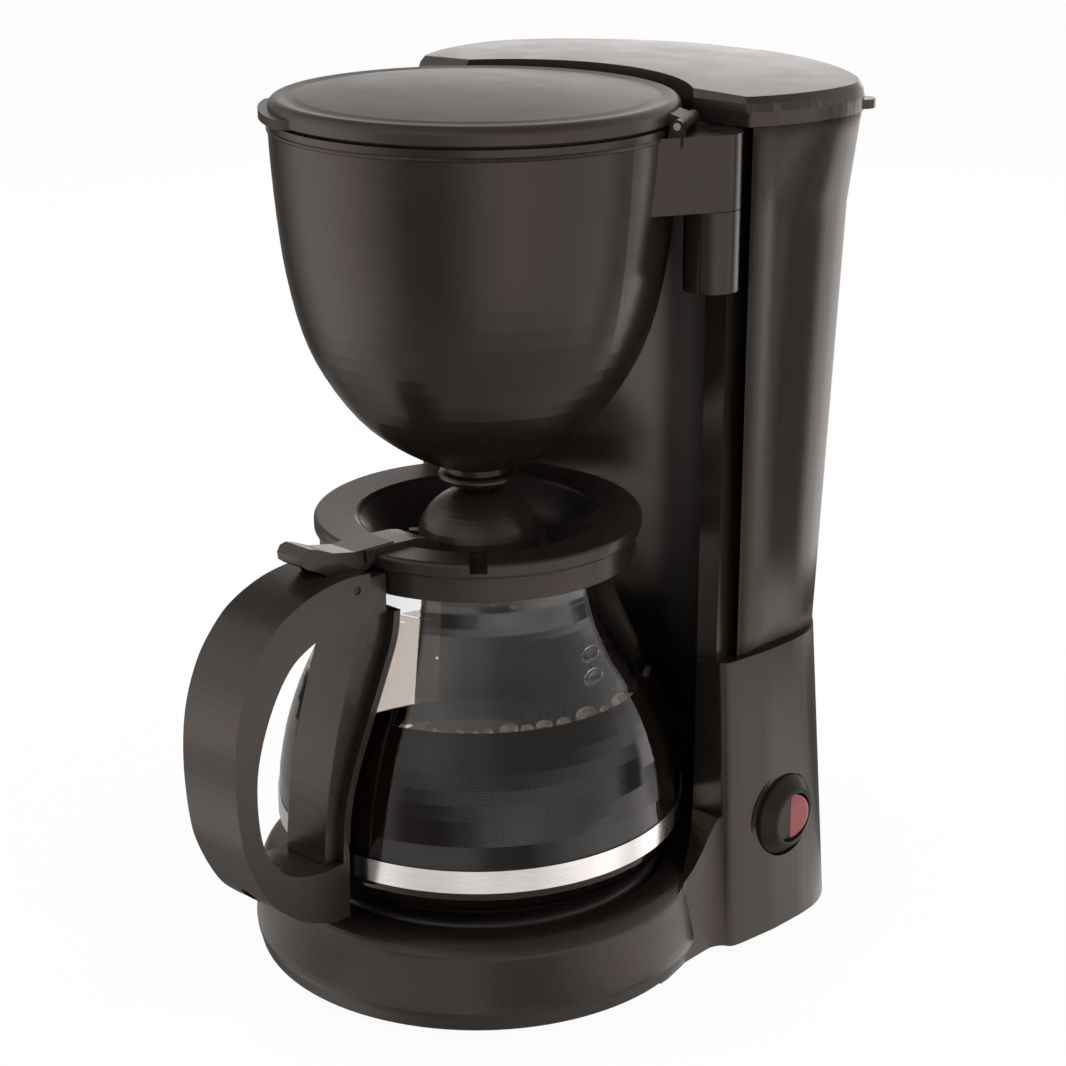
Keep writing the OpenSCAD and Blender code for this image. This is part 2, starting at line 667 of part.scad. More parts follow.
module drip_seal() color("#5a2f2a") place() tube(6.2, valve_r + run, seal_t, bowl_z - 1.8);

spring_low = bowl_z - 2.2 + seal_t + 1.8;
spring_turns = 4;
function coil(k, n, r, wire, z0, h) = let(t = 360 * spring_turns * k / n)
    [for (j = [0:5]) let(q = r + wire * cos(60 * j)) [q * cos(t), q * sin(t),
        z0 + wire + (h - 2 * wire) * k / n + wire * sin(60 * j)]];
module drip_spring() color("silver") place() {
    n = spring_turns * 14;
    points = [for (k = [0:n]) each coil(k, n, 4.6, 0.45, spring_low + e, cone_low - spring_low - 2 * e)];
    sides = [for (k = [0:n - 1], j = [0:5]) [6 * k + j, 6 * k + (j + 1) % 6, 6 * k + 6 + (j + 1) % 6,
        6 * k + 6 + j]];
    polyhedron(points, concat(sides, [[5, 4, 3, 2, 1, 0]], [[for (j = [0:5]) 6 * n + j]]), convexity = 10);
}

// ---- switch ----------------------------------------------------------------

rocker_tilt = 6;
module switch_body() color("#171615") place() along_x(0, switch_y, switch_z) difference() {
    union() {
        rod(10, 22, switch_face - 22);
        rotate_extrude() polygon([[0, switch_face], [15.4, switch_face], [15.4, switch_face + 1.4],
            [15.1, switch_face + 2], [12.2, switch_face + 4.8], [11.3, switch_face + 5.6],
            [10.2, switch_face + 5.9], [0, switch_face + 5.9]]);
    }
    rod(9.5, 20, switch_face - 9);
    translate([-12, 0, rocker_x]) rotate([0, 90, 0]) rod(1.26, 24);
    for (k = [-1:1]) translate([k * 5 - 0.5, -3, switch_face - 30]) cube([1, 6, 10]);
}
module rocker_shape(side) {
    translate([rocker_x, switch_y, switch_z]) rotate([0, 0, -rocker_tilt]) intersection() {
        rotate([0, 90, 0]) translate([0, 0, -6]) rod(8.8, 20);
        linear_extrude(height = 30, center = true) polygon(side > 0
            ? [[2, 0.2], [4.4, 0.2], [5.6, 8.7], [2, 8.7]]
            : [[-5, -2.5], [-5, 2.5], [-1, 5], [2, 8.7], [2, 0.2], [4.4, 0.2], [4.4, -0.2],
              [5.6, -8.7], [2, -8.7], [-1, -5]]);
    }
}
module switch_rocker() color("#131211") place() {
    rocker_shape(-1);
    translate([rocker_x, switch_y, switch_z - 9.9]) rod(1.2, 19.8);
}
module switch_lens() color("#b3423a") place() rocker_shape(1);

module cord_grommet() color("#1a1918") place() translate([0, 0, 22]) rotate([90, 0, 0]) difference() {
    union() {
        rod(5, 6, -rear_y - 1);
        rod(7, 2.6, -rear_y - 2);
    }
    rod(3, 20, -rear_y - 6);
}

// ---- carafe ----------------------------------------------------------------

glass_side = concat(curve([[0, glass_z + 1.2], [40, glass_z + 1.0], [57, glass_z], [63, glass_z + 1.4],
    [70, glass_z + 7], [73.6, glass_z + 13]], 3), [[glass_r, band_z - 0.6], [glass_r, band_z + band_h + 0.6]],
    curve([[73.6, 70], [71, 84], [66.3, 99], [59.6, 114], [54.2, 124], [49.8, 134], [neck_r, 142],
    [neck_r, 150], [neck_r + 1, clid_z - 4.2]], 3));
module carafe_glass() color([0.85, 0.9, 0.92, 0.35]) place() rotate_extrude() polygon(concat(glass_side,
    back([for (p = beside(glass_side, glass_t)) [max(p[0], 0), p[1]]])));

module carafe_band() color("#d5d6d8") place() {
    difference() {
        tube(glass_r + band_t, glass_r, band_h, band_z);
        translate([-4, -glass_r - 5, band_z - 1]) cube([8, 10, band_h + 2]);
    }
    // the two turned-out ears that the screw draws together
    for (s = [-1, 1]) translate([s * 4 - (s > 0 ? 0 : 0.8), -glass_r - 6, band_z]) cube([0.8, 6.1, band_h]);
}

strap_out = curve([[-66, 163.5], [-77, 164.5], [-91, 163], [-104, 158.3], [-112.3, 152], [-120.2, 142],
    [-126, 127], [-reach, 109], [-126.8, 89], [-123.6, 76], [-116, 61], [-108, 52.5], [-98, 45.5], [-86, 41]], 5);
strap_in = curve([[-84, 147], [-92, 146], [-103, 140], [-112.5, 126], [-118.6, 107], [-118, 85],
    [-112, 72], [-104, 65.5], [-93, 62.3], [-86, 62]], 5);
post_front = curve([[-66.5, 150], [-69, 140], [-74, 126], [-80, 108], [-84.5, 88], [-87, 70], [-87.5, 57]], 4);
post_back = curve([[-52, 150], [-53.6, 138], [-58.5, 126], [-66, 110], [-74, 92], [-77.8, 78], [-79, 62]], 4);

module carafe_handle() color("#2a2623") place() difference() {
    union() {
        side_profile(strap_w) polygon(concat(strap_out, [[-79.6, 41]], [[-79.6, 62]], back(strap_in),
            [[-66, 147]]));
        // top housing of the lid hinge, reaching to the collar
        translate([0, 0, 147]) linear_extrude(height = 13.8) difference() {
            translate([-11, -84]) square([22, 27]);
            circle(r = clid_r - 1.6);
        }
        // lower shoe that holds the band screw
        translate([-9, -81, 44]) cube([18, 5.5, 18]);
        translate([-9, -79.2, 44]) cube([18, 3.7, 24]);
    }
    // slot for the lid lever
    translate([-6.6, -80, 155.4]) cube([13.2, 40, 20]);
    along_x(-20, cpin_y, cpin_z) rod(cpin_r, 40);
    translate([-5.1, -83, band_z - 1]) cube([10.2, 9, band_h + 2]);
    translate([0, -140, band_z + band_h / 2]) rotate([-90, 0, 0]) rod(1.6, 70);
    translate([0, -140, band_z + band_h / 2]) rotate([-90, 0, 0]) rod(3.4, 50);
}
module handle_post() color("#302b28") place() difference() {
    union() {
        side_profile(19) polygon(concat(post_front, [[-80.2, 62.2]], back(post_back), [[-56, 146.8],
            [-66, 146.8]]));
        side_profile(26) intersection() {
            polygon(concat(post_back, [[-80, 62.2]], [[-83, 62.2]], back(beside(post_back, -3))));
            polygon([[-90, 62.2], [-40, 62.2], [-40, 146.8], [-90, 146.8]]);
        }
    }
    translate([-30, -100, 146.8]) cube([60, 60, 20]);
    translate([-30, -100, 30]) cube([60, 60, 32.2]);
    translate([-30, -79.4, 50]) cube([60, 30, 18.4]);
}
module band_screw() color("silver") place() translate([0, 0, band_z + band_h / 2]) rotate([-90, 0, 0]) {
    difference() {
        rod(3.2, 2, -92);
        translate([-2.2, -0.4, -93]) cube([4.4, 0.8, 2]);
    }
    rod(1.55, 14.5, -90);
}
module carafe_collar() color("#2b2724") place() {
    difference() {
        tube(clid_r - 1.8, neck_r + 1.2, clid_z - 0.6 - collar_z, collar_z);
        rod(clid_r - 5, 10, clid_z - 3.4);
    }
    tube(neck_r + 3, neck_r + 0.8, 1.2, collar_z - 0.6);
}
module carafe_lid() color("#33302d") place() difference() {
    union() {
        rotate_extrude() polygon(concat([[dome_r - 2, 153.4], [neck_r - 6, 157], [clid_r - 5.4, clid_z - 2.8],
            [clid_r - 5.4, clid_z - 0.3], [clid_r - 0.7, clid_z - 0.3]],
            arc([clid_r - 1.4, clid_z + 1.1], 1.4, -60, 0, 3), arc([clid_r - 1.4, clid_z + 3.8], 1.4, 0, 90, 5),
            [[clid_r - 8, clid_z + 4.9], [43.8, clid_z + 4.5], [43, clid_z + 4.1]],
            curve([[42, clid_z + 3.4], [34, clid_z - 1], [29, clid_z - 4], [25.4, clid_z - 5.7]], 3),
            [[24.8, clid_z - 5.85], [dome_r - 2, clid_z - 5.85]]));
        tube(neck_r - 2.6, neck_r - 4.4, 8, 150);
        // thumb lever over the hinge, with its barrel
        side_profile(12) polygon([[-48, clid_z + 3.4], [-48, clid_z + 7], [-66, clid_z + 7.9],
            [-76, clid_z + 10.1], [-83, clid_z + 13.2], [-86, clid_z + 14.1], [-88.6, clid_z + 13.7],
            [-90, clid_z + 11.6], [-89.6, clid_z + 9], [-87, clid_z + 7.1], [-81, clid_z + 4.3],
            [-78.6, clid_z + 2.6], [-75, clid_z - 1.4], [-73, clid_z - 3.6], [-69, clid_z - 4.4],
            [-65, clid_z - 3.4], [-62, clid_z], [-58, clid_z + 1]]);
        along_x(-6, cpin_y, cpin_z) rod(3.2, 12);
        // wedge that carries the lever in over the rim
        side_profile(14) polygon([[-57.5, clid_z + 2], [-61.5, clid_z + 3], [-62, clid_z + 7.4],
            [-50, clid_z + 6.8], [-38, clid_z + 5.6], [-33, clid_z + 4.4], [-31, clid_z + 2.6],
            [-30.6, clid_z - 4], [-36, clid_z - 3], [-44, clid_z + 1]]);
    }
    along_x(-20, cpin_y, cpin_z) rod(cpin_r + run, 40);
    // vent notch across the rim
    rotate([0, 0, 313.5]) translate([33, -3, clid_z + 1.9]) cube([40, 6, 10]);
}
module brew_dome() color("#2f2c2a") place() difference() {
    union() {
        rotate_extrude() polygon(concat([[0, clid_z - 8.2], [dome_r - 2, clid_z - 8.2],
            [dome_r - 2, clid_z - 5.8], [dome_r, clid_z - 5.8]],
            [for (k = [1:14]) [dome_r * cos(90 * k / 14), clid_z - 5.8 + (dome_top - clid_z + 5.8)
                * sin(90 * k / 14)]]));
        for (a = [43.5:90:313.5]) rotate([0, 0, a]) translate([dome_r - 1, -1.6, clid_z - 5.7])
            cube([3.6, 3.2, 3.4]);
    }
    rotate_extrude() polygon(concat([[0, clid_z - 9], [dome_r - 4, clid_z - 9]], [for (k = [0:10])
        [(dome_r - 2.2) * cos(90 * k / 10), clid_z - 6 + (dome_top - clid_z + 3.6) * sin(90 * k / 10)]]));
    for (k = [0:4]) rotate([0, 0, 72 * k]) translate([6, 0, dome_top - 8]) rod(1.5, 20);
}
module carafe_lid_pin() color("silver") place() along_x(-strap_w / 2 + 0.5, cpin_y, cpin_z)
    rod(cpin_r, strap_w - 1);

base_housing();
base_cover();
rubber_feet();
cover_screws();
warming_plate();
plate_seal();
heater();
heater_bracket();
thermostat();
thermal_fuse();
inlet_hose();
outlet_hose();
check_valve();
riser_tube();
outlet_spout();
column_shell();
water_tank();
tank_gasket();
tank_lid();
tank_lid_pin();
filter_holder();
swing_pin();
filter_lid();
filter_lid_pin();
shower_tray();
filter_frame();
filter_mesh();
nozzle_collar();
drip_valve();
drip_spring();
drip_seal();
switch_body();
switch_rocker();
switch_lens();
cord_grommet();
carafe_glass();
carafe_band();
carafe_handle();
handle_post();
band_screw();
carafe_collar();
carafe_lid();
brew_dome();
carafe_lid_pin();
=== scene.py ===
"""Drip coffee maker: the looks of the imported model, in the row frame, in metres."""
import json
import math

import bmesh
import bpy
from mathutils import Matrix, Vector


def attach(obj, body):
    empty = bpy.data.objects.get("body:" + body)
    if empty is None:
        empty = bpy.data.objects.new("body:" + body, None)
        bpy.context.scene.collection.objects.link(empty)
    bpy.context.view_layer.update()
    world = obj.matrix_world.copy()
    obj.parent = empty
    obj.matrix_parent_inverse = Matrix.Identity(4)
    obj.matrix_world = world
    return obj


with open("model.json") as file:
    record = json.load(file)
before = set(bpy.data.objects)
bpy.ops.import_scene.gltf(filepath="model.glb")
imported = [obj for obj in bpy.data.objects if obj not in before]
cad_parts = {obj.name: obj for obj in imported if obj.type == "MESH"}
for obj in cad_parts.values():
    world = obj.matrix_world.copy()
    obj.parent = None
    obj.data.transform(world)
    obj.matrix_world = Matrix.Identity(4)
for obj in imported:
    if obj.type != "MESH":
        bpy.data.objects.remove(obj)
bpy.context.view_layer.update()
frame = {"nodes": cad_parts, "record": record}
NODES = frame["nodes"]
MID_Y = 0.01145            # brew axis is this far in front of the origin
AXIS = Vector((0, -MID_Y, 0))

CAMERA_AT = (0.53347, -0.57361, 0.43020)
CAMERA_LOOK = (-0.63183, 0.70038, -0.33205)
CAMERA_SIDE = (0.74251, 0.66983, 0)
LENS_MM = 77.67
SHARP_EDGE = math.radians(32)       # edges sharper than this aren't shaded as one surface


# ---- camera -----------------------------------------------------------------

def make_camera():
    data = bpy.data.cameras.new("camera")
    data.sensor_fit = "HORIZONTAL"
    data.sensor_width = 36
    data.lens = LENS_MM
    cam = bpy.data.objects.new("camera", data)
    bpy.context.scene.collection.objects.link(cam)
    look = Vector(CAMERA_LOOK).normalized()
    side = Vector(CAMERA_SIDE).normalized()
    up = side.cross(look)
    m = Matrix((side, up, -look)).transposed().to_4x4()
    m.translation = Vector(CAMERA_AT)
    cam.matrix_world = m
    bpy.context.scene.camera = cam


# ---- material helpers ---------------------------------------------------------

def new_material(name, colour, rough, **sockets):
    m = bpy.data.materials.new(name)
    m.use_nodes = True
    b = m.node_tree.nodes["Principled BSDF"]
    b.inputs["Base Color"].default_value = (*colour, 1)
    b.inputs["Roughness"].default_value = rough
    for key, value in sockets.items():
        b.inputs[key.replace("_", " ")].default_value = value
    return m


def node(m, kind, **values):
    n = m.node_tree.nodes.new(kind)
    for key, value in values.items():
        if key in n.inputs.keys():
            n.inputs[key].default_value = value
        else:
            setattr(n, key, value)
    return n


def link(m, a, out, b, inp):
    m.node_tree.links.new(a.outputs[out], b.inputs[inp])


def noise(m, scale, detail=2.0, stretch=None):
    t = node(m, "ShaderNodeTexCoord")
    n = node(m, "ShaderNodeTexNoise", Scale=scale, Detail=detail)
    if stretch:
        mp = node(m, "ShaderNodeMapping", Scale=stretch)
        link(m, t, "Object", mp, "Vector")
        link(m, mp, "Vector", n, "Vector")
    else:
        link(m, t, "Object", n, "Vector")
    return n


def vary_colour(m, n, a, b, low=0.35, high=0.65):
    ramp = node(m, "ShaderNodeValToRGB")
    ramp.color_ramp.elements[0].position = low
    ramp.color_ramp.elements[0].color = (*a, 1)
    ramp.color_ramp.elements[1].position = high
    ramp.color_ramp.elements[1].color = (*b, 1)
    link(m, n, "Fac", ramp, "Fac")
    link(m, ramp, "Color", m.node_tree.nodes["Principled BSDF"], "Base Color")


def vary_rough(m, n, low, high):
    r = node(m, "ShaderNodeMapRange")
    r.inputs["To Min"].default_value = low
    r.inputs["To Max"].default_value = high
    link(m, n, "Fac", r, "Value")
    link(m, r, "Result", m.node_tree.nodes["Principled BSDF"], "Roughness")


def grain(m, n, depth, chain=None):
    bump = node(m, "ShaderNodeBump", Strength=1.0, Distance=depth)
    link(m, n, "Fac", bump, "Height")
    if chain:
        link(m, chain, "Normal", bump, "Normal")
    link(m, bump, "Normal", m.node_tree.nodes["Principled BSDF"], "Normal")
    return bump


def moulded(name, dark, pale, rough, grain_size=900, depth=0.00002, ior=1.5, coat=0.0, flow=0.0):
    """Injection-moulded plastic: a fine sparked grain, faint flow marks and uneven sheen."""
    m = new_material(name, pale, rough, IOR=ior, Coat_Weight=coat, Coat_Roughness=0.06,
                     Specular_Tint=(1.0, 0.88, 0.8, 1.0))
    cloud = noise(m, 22, 3)
    vary_colour(m, cloud, dark, pale)
    vary_rough(m, noise(m, 60, 4), rough - 0.05, rough + 0.06)
    # flow rounds the shading over the edges of a swept form, by this radius
    edges = node(m, "ShaderNodeBevel", Radius=flow) if flow else None
    fine = grain(m, noise(m, grain_size, 2), depth, edges)
    grain(m, noise(m, 14, 1), depth * 6, fine)
    return m


def metal(name, colour, rough, brushed=None, depth=0.000006):
    m = new_material(name, colour, rough, Metallic=1.0)
    n = noise(m, 140, 5, brushed) if brushed else noise(m, 180, 4)
    vary_rough(m, n, max(rough - 0.06, 0.03), rough + 0.1)
    vary_colour(m, n, tuple(c * 0.86 for c in colour), colour)
    grain(m, n, depth)
    return m


def make_materials():
    M = {}
    lid_dark, lid_pale = (0.0150, 0.0122, 0.0110), (0.0176, 0.0144, 0.0130)
    M["housing"] = moulded("housing plastic", (0.0085, 0.0068, 0.0057), (0.0108, 0.0086, 0.0073), 0.26)
    M["column"] = moulded("column plastic", (0.0078, 0.0064, 0.0054), (0.0098, 0.0080, 0.0068), 0.24,
                          depth=0.00001)
    M["tank_smoke"] = moulded("smoked tank", (0.0066, 0.0053, 0.0046), (0.0084, 0.0068, 0.0059), 0.14,
                              500, 0.000004, flow=0.009)
    M["lid"] = moulded("lid plastic", lid_dark, lid_pale, 0.24)
    M["round_lid"] = moulded("round lid plastic", lid_dark, lid_pale, 0.34)
    M["holder"] = moulded("holder plastic", (0.0085, 0.0066, 0.0053), (0.0108, 0.0085, 0.0068), 0.25)
    M["handle"] = moulded("handle plastic", (0.0110, 0.0089, 0.0078), (0.0132, 0.0108, 0.0095), 0.27)
    M["inner_plastic"] = moulded("inner plastic", (0.60, 0.57, 0.51), (0.66, 0.62, 0.56), 0.42)
    M["rubber"] = moulded("rubber", (0.012, 0.011, 0.010), (0.018, 0.016, 0.015), 0.62, 1400, 0.00004)
    M["silicone"] = moulded("silicone", (0.62, 0.59, 0.54), (0.7, 0.67, 0.62), 0.38, 500, 0.00001)
    M["silicone"].node_tree.nodes["Principled BSDF"].inputs["Subsurface Weight"].default_value = 0.3
    M["steel"] = metal("steel", (0.62, 0.61, 0.60), 0.24)
    M["band"] = metal("band steel", (0.83, 0.82, 0.80), 0.17, (1, 1, 60))
    M["aluminium"] = metal("cast aluminium", (0.66, 0.66, 0.67), 0.42, depth=0.00004)
    M["hot_plate"] = moulded("coated plate", (0.014, 0.012, 0.011), (0.019, 0.016, 0.015), 0.3,
                             1500, 0.00003)
    M["ceramic"] = moulded("ceramic", (0.66, 0.62, 0.55), (0.72, 0.69, 0.62), 0.5)
    M["switch"] = moulded("switch plastic", (0.012, 0.011, 0.010), (0.015, 0.013, 0.012), 0.3, ior=1.22)
    lens = new_material("switch lens", (0.3, 0.09, 0.09), 0.2, Coat_Weight=0.12, Coat_Roughness=0.05,
                        IOR=1.3, Subsurface_Weight=0.2)
    # painted shade and highlight: the lens's red goes in soft patches from a dark red to a bright red,
    # standing for its shaded and lit parts
    vary_colour(lens, noise(lens, 26, 1), (0.15, 0.034, 0.034), (0.30, 0.080, 0.080))
    grain(lens, noise(lens, 120, 1), 0.00005)
    M["lens"] = lens
    mesh = new_material("filter mesh", (0.5, 0.38, 0.2), 0.4, Metallic=0.4)
    weave = node(mesh, "ShaderNodeTexBrick", Scale=900.0)
    link(mesh, node(mesh, "ShaderNodeTexCoord"), "Object", weave, "Vector")
    vary_colour(mesh, noise(mesh, 1500, 1), (0.36, 0.27, 0.14), (0.56, 0.44, 0.25))
    grain(mesh, weave, 0.0002)
    M["mesh"] = mesh
    glass = new_material("clear glass", (0.985, 0.99, 0.985), 0.015, Transmission_Weight=1.0, IOR=1.47)
    vary_rough(glass, noise(glass, 9, 2), 0.01, 0.025)
    grain(glass, noise(glass, 7, 1), 0.00035)
    M["glass"] = glass
    return M


# ---- mesh helpers ---------------------------------------------------------------

def put(name, bm, material, body):
    me = bpy.data.meshes.new(name)
    bmesh.ops.recalc_face_normals(bm, faces=bm.faces)
    bm.to_mesh(me)
    bm.free()
    for p in me.polygons:
        p.use_smooth = True
    me.materials.append(material)
    o = bpy.data.objects.new(name, me)
    bpy.context.scene.collection.objects.link(o)
    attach(o, body)
    return o


def spin(profile, n=128):
    """A closed form turned from (radius, height) pairs round the brew axis."""
    bm = bmesh.new()
    rings = []
    for r, z in profile:
        if r < 1e-6:
            rings.append([bm.verts.new((AXIS.x, AXIS.y, z))])
        else:
            rings.append([bm.verts.new((AXIS.x + r * math.cos(2 * math.pi * k / n),
                                        AXIS.y + r * math.sin(2 * math.pi * k / n), z)) for k in range(n)])
    for a, b in zip(rings, rings[1:]):
        for k in range(n):
            # a ring on the axis is one point, so its quads become triangles
            quad = [a[k % len(a)], a[(k + 1) % len(a)], b[(k + 1) % len(b)], b[k % len(b)]]
            quad = list(dict.fromkeys(quad))
            if len(quad) > 2:
                bm.faces.new(quad)
    return bm


def blob(bm, at, radius, squash=(1, 1, 1), turn=0.0):
    m = Matrix.Translation(at) @ Matrix.Rotation(turn, 4, "Z") @ Matrix.Diagonal((*squash, 1))
    bmesh.ops.create_icosphere(bm, subdivisions=3, radius=radius, matrix=m)


# ---- coffee -----------------------------------------------------------------------

# Outer (radius, height) of the jug's side in millimetres, from the foot of the curve to the waist
GLASS = [(57, 36.9), (63, 38.3), (70, 43.9), (73.6, 49.9), (74.2, 52.4), (74.2, 62),
         (73.6, 70), (71, 84), (66.3, 99), (59.6, 114), (54.2, 124), (49.8, 134)]
WALL = 2.2
LEVEL = 106.0               # height of the coffee's surface
FLOOR_OF_BREW = 40.6
FACING_UP = 0.7             # a face whose normal rises more than this is the level surface
SEEN_THROUGH = 0.92


def inner_radius(z):
    for (r0, z0), (r1, z1) in zip(GLASS, GLASS[1:]):
        if z0 <= z <= z1:
            slope = math.atan2(r0 - r1, z1 - z0)
            return r0 + (r1 - r0) * (z - z0) / (z1 - z0) - WALL / math.cos(slope)
    raise ValueError("no glass at this height")


def on_glass(bearing_deg, radius, z):
    """A point at a bearing round the brew axis, from a radius and a height in metres."""
    t = math.radians(bearing_deg)
    return AXIS + Vector((radius * math.cos(t), radius * math.sin(t), z))


def see_into(m):
    """The level surface and the far side of the brew are seen through, as the photograph shows the
    white background through the empty part of the jug."""
    side = node(m, "ShaderNodeNewGeometry")
    up = node(m, "ShaderNodeSeparateXYZ")
    link(m, side, "True Normal", up, 0)
    level = node(m, "ShaderNodeMath", operation="GREATER_THAN")
    level.inputs[1].default_value = FACING_UP
    link(m, up, "Z", level, 0)
    either = node(m, "ShaderNodeMath", operation="MAXIMUM")
    link(m, level, 0, either, 0)
    link(m, side, "Backfacing", either, 1)
    share = node(m, "ShaderNodeMath", operation="MULTIPLY")
    share.inputs[1].default_value = SEEN_THROUGH
    link(m, either, 0, share, 0)
    clear = node(m, "ShaderNodeBsdfTransparent")
    clear.inputs["Color"].default_value = (0.86, 0.80, 0.76, 1)
    mix = node(m, "ShaderNodeMixShader")
    link(m, share, 0, mix, 0)
    link(m, m.node_tree.nodes["Principled BSDF"], 0, mix, 1)
    link(m, clear, 0, mix, 2)
    link(m, mix, 0, m.node_tree.nodes["Material Output"], "Surface")


def make_coffee():
    m = new_material("coffee", (0.008, 0.0045, 0.0035), 0.3, IOR=1.02)
    cloud = noise(m, 18, 3)
    vary_colour(m, cloud, (0.0050, 0.0030, 0.0022), (0.0110, 0.0062, 0.0042))
    grain(m, noise(m, 30, 2), 0.0002)
    see_into(m)
    # the side is sunk a little into the glass, so that no film of air shows between them
    side = [(0, FLOOR_OF_BREW), (inner_radius(41.2) - 4, FLOOR_OF_BREW)]
    for z in (41.2, 44, 47, 50, 54, 58, 62, 66, 70, 75, 80, 85, 90, 95, 100, LEVEL - 1.5):
        side.append((inner_radius(z) + 0.3, z))
    # the surface creeps up where it meets the glass
    for inset, rise in ((-0.2, 0.7), (1.0, 0.15), (2.6, 0)):
        side.append((inner_radius(LEVEL) - inset, LEVEL + rise))
    side += [(30, LEVEL), (0, LEVEL)]
    put("coffee", spin([(r / 1000, z / 1000) for r, z in side]), m, "carafe")


def make_froth():
    froth = new_material("froth", (0.55, 0.44, 0.36), 0.08, Transmission_Weight=0.75, IOR=1.2,
                         Coat_Weight=0.5)
    vary_colour(froth, noise(froth, 300, 2), (0.42, 0.33, 0.27), (0.72, 0.62, 0.54))
    bm = bmesh.new()
    r = inner_radius(LEVEL) / 1000
    # bearing in degrees and half width in millimetres of each bubble along the glass
    spots = [(-72, 1.2), (-62, 1.5), (-53, 1.3), (-48, 1.0), (-44, 1.7), (-37, 3.4), (-31, 2.3), (-25, 3.1),
             (-18, 2.7), (-8.5, 4.2), (-1, 1.9), (8, 3.6), (14, 1.2), (33, 1.9), (37, 1.3), (120, 1.8),
             (128, 1.4), (205, 2.0), (212, 1.5), (219, 1.8)]
    for a, s in spots:
        blob(bm, on_glass(a, r - s * 0.0005, (LEVEL + 0.9) / 1000), s / 1000, (0.5, 1.0, 0.62),
             math.radians(a))
    put("froth", bm, froth, "carafe")


def make_drops():
    drop = new_material("drops", (0.9, 0.88, 0.86), 0.02, Transmission_Weight=1.0, IOR=1.33)
    grain(drop, noise(drop, 80, 1), 0.0002)
    bm = bmesh.new()
    # bearing in degrees, height and half width in millimetres
    for a, z, s in [(1.5, 124.4, 4.5), (-1, 117.6, 4.6), (-64, 129, 1.1)]:
        blob(bm, on_glass(a, (inner_radius(z) - 0.5) / 1000, z / 1000), s / 1000, (0.25, 1.0, 0.68),
             math.radians(a))
    put("drops", bm, drop, "carafe")


# ---- dress the nodes ---------------------------------------------------------------

# nodes whose finish differs from the rest of their slot
FINISH = {"filter_lid": "round_lid", "carafe_lid_pin": "rubber"}


def dress(M):
    slots = {s["node"]: s["material_slot"] for s in frame["record"]["subparts"]}
    for name, o in NODES.items():
        o.data.materials.clear()
        o.data.materials.append(M[FINISH.get(name, slots[name])])
        for p in o.data.polygons:
            p.use_smooth = True
            p.material_index = 0
        o.data.set_sharp_from_angle(angle=SHARP_EDGE)


# ---- studio -----------------------------------------------------------------------

def light(name, at, to, energy, size, size_y):
    """A soft area lamp; the world, not the lamp, is what shiny surfaces mirror."""
    d = bpy.data.lights.new(name, "AREA")
    d.energy = energy
    d.shape = "RECTANGLE"
    d.size = size
    d.size_y = size_y
    o = bpy.data.objects.new(name, d)
    o.location = at
    o.rotation_euler = (Vector(to) - Vector(at)).to_track_quat("-Z", "Y").to_euler()
    o.visible_glossy = False
    o.visible_transmission = False
    bpy.context.scene.collection.objects.link(o)


# Brightness of the mirrored studio by direction: degrees from the camera's own bearing, to the
# right as seen in the picture, and level. One list for steep downward directions, one for those
# below the horizon, one at it, one above it, and one for the table close to the machine.
STUDIO_LOW = [(-180, 0.2), (-145, 0.2), (-120, 0.4), (-97, 0.85), (-80, 0.95), (-62, 0.6), (-40, 0.45),
              (0, 0.5), (60, 0.58), (100, 0.6), (130, 0.4), (180, 0.2)]
STUDIO_MID = [(-180, 0.8), (-172, 0.45), (-160, 0.15), (-143, 0.05), (-128, 0.4), (-113, 1.2), (-97, 1.65),
              (-80, 1.75), (-66, 1.4), (-53, 0.85), (-40, 0.28), (-22, 0.22), (-8, 0.55), (7, 1.2),
              (22, 1.4), (38, 1.2), (60, 1.05), (80, 1.25), (90, 0.25), (101, 0.25), (108, 1.9), (130, 1.9),
              (150, 0.9), (160, 1.2), (171, 1.4), (180, 0.8)]
STUDIO_LEVEL = [(-180, 2.2), (-172, 1.3), (-158, 0.3), (-140, 0.2), (-113, 1.2), (-85, 1.7), (-60, 1.3),
                (-38, 0.45), (-8, 1.0), (37, 1.2), (90, 1.2), (140, 1.0), (160, 2.2), (172, 2.8), (180, 2.2)]
STUDIO_HIGH = [(-180, 0.75), (-172, 0.62), (-150, 0.3), (-128, 0.6), (-105, 1.3), (-85, 1.2), (-60, 0.9),
               (-30, 1.1), (-5, 0.8), (22, 0.5), (60, 0.5), (110, 0.8), (150, 0.8), (172, 1.05), (180, 0.75)]
STUDIO_TABLE = [(-180, 0.4), (-100, 0.5), (-80, 0.8), (-55, 0.75), (-42, 1.1), (-8, 1.1), (6, 0.45),
                (20, 0.4), (30, 0.8), (42, 1.3), (58, 1.6), (80, 1.4), (92, 1.7), (102, 0.9),
                (112, 0.15), (150, 0.15), (180, 0.4)]
STUDIO_TOP = 3.0           # the level that a full colour stands for
STUDIO_OVERHEAD = 1.3
SOFT_LEVEL = 0.62          # the world's light on dull surfaces
CAMERA_BEARING = math.radians(47.1)
TABLE_RADIUS = 0.42        # the table's near part is mirrored by where it is hit
TABLE_EDGE = 0.06
FLOOR_HALF_SIDE = 6
FLOOR_GLOW = 0.95          # share of the floor that shows as plain white to the camera


def studio_ramp(t, source, table):
    ramp = t.nodes.new("ShaderNodeValToRGB")
    ramp.color_ramp.interpolation = "EASE"
    stops = ramp.color_ramp.elements
    for angle, value in table:
        place = (angle + 180) / 360
        # a new ramp already has its first and last stop
        e = stops[0] if place == 0 else stops[-1] if place == 1 else stops.new(place)
        v = value / STUDIO_TOP
        e.color = (v, v * 0.955, v * 0.93, 1)
    t.links.new(source.outputs[0], ramp.inputs[0])
    return ramp


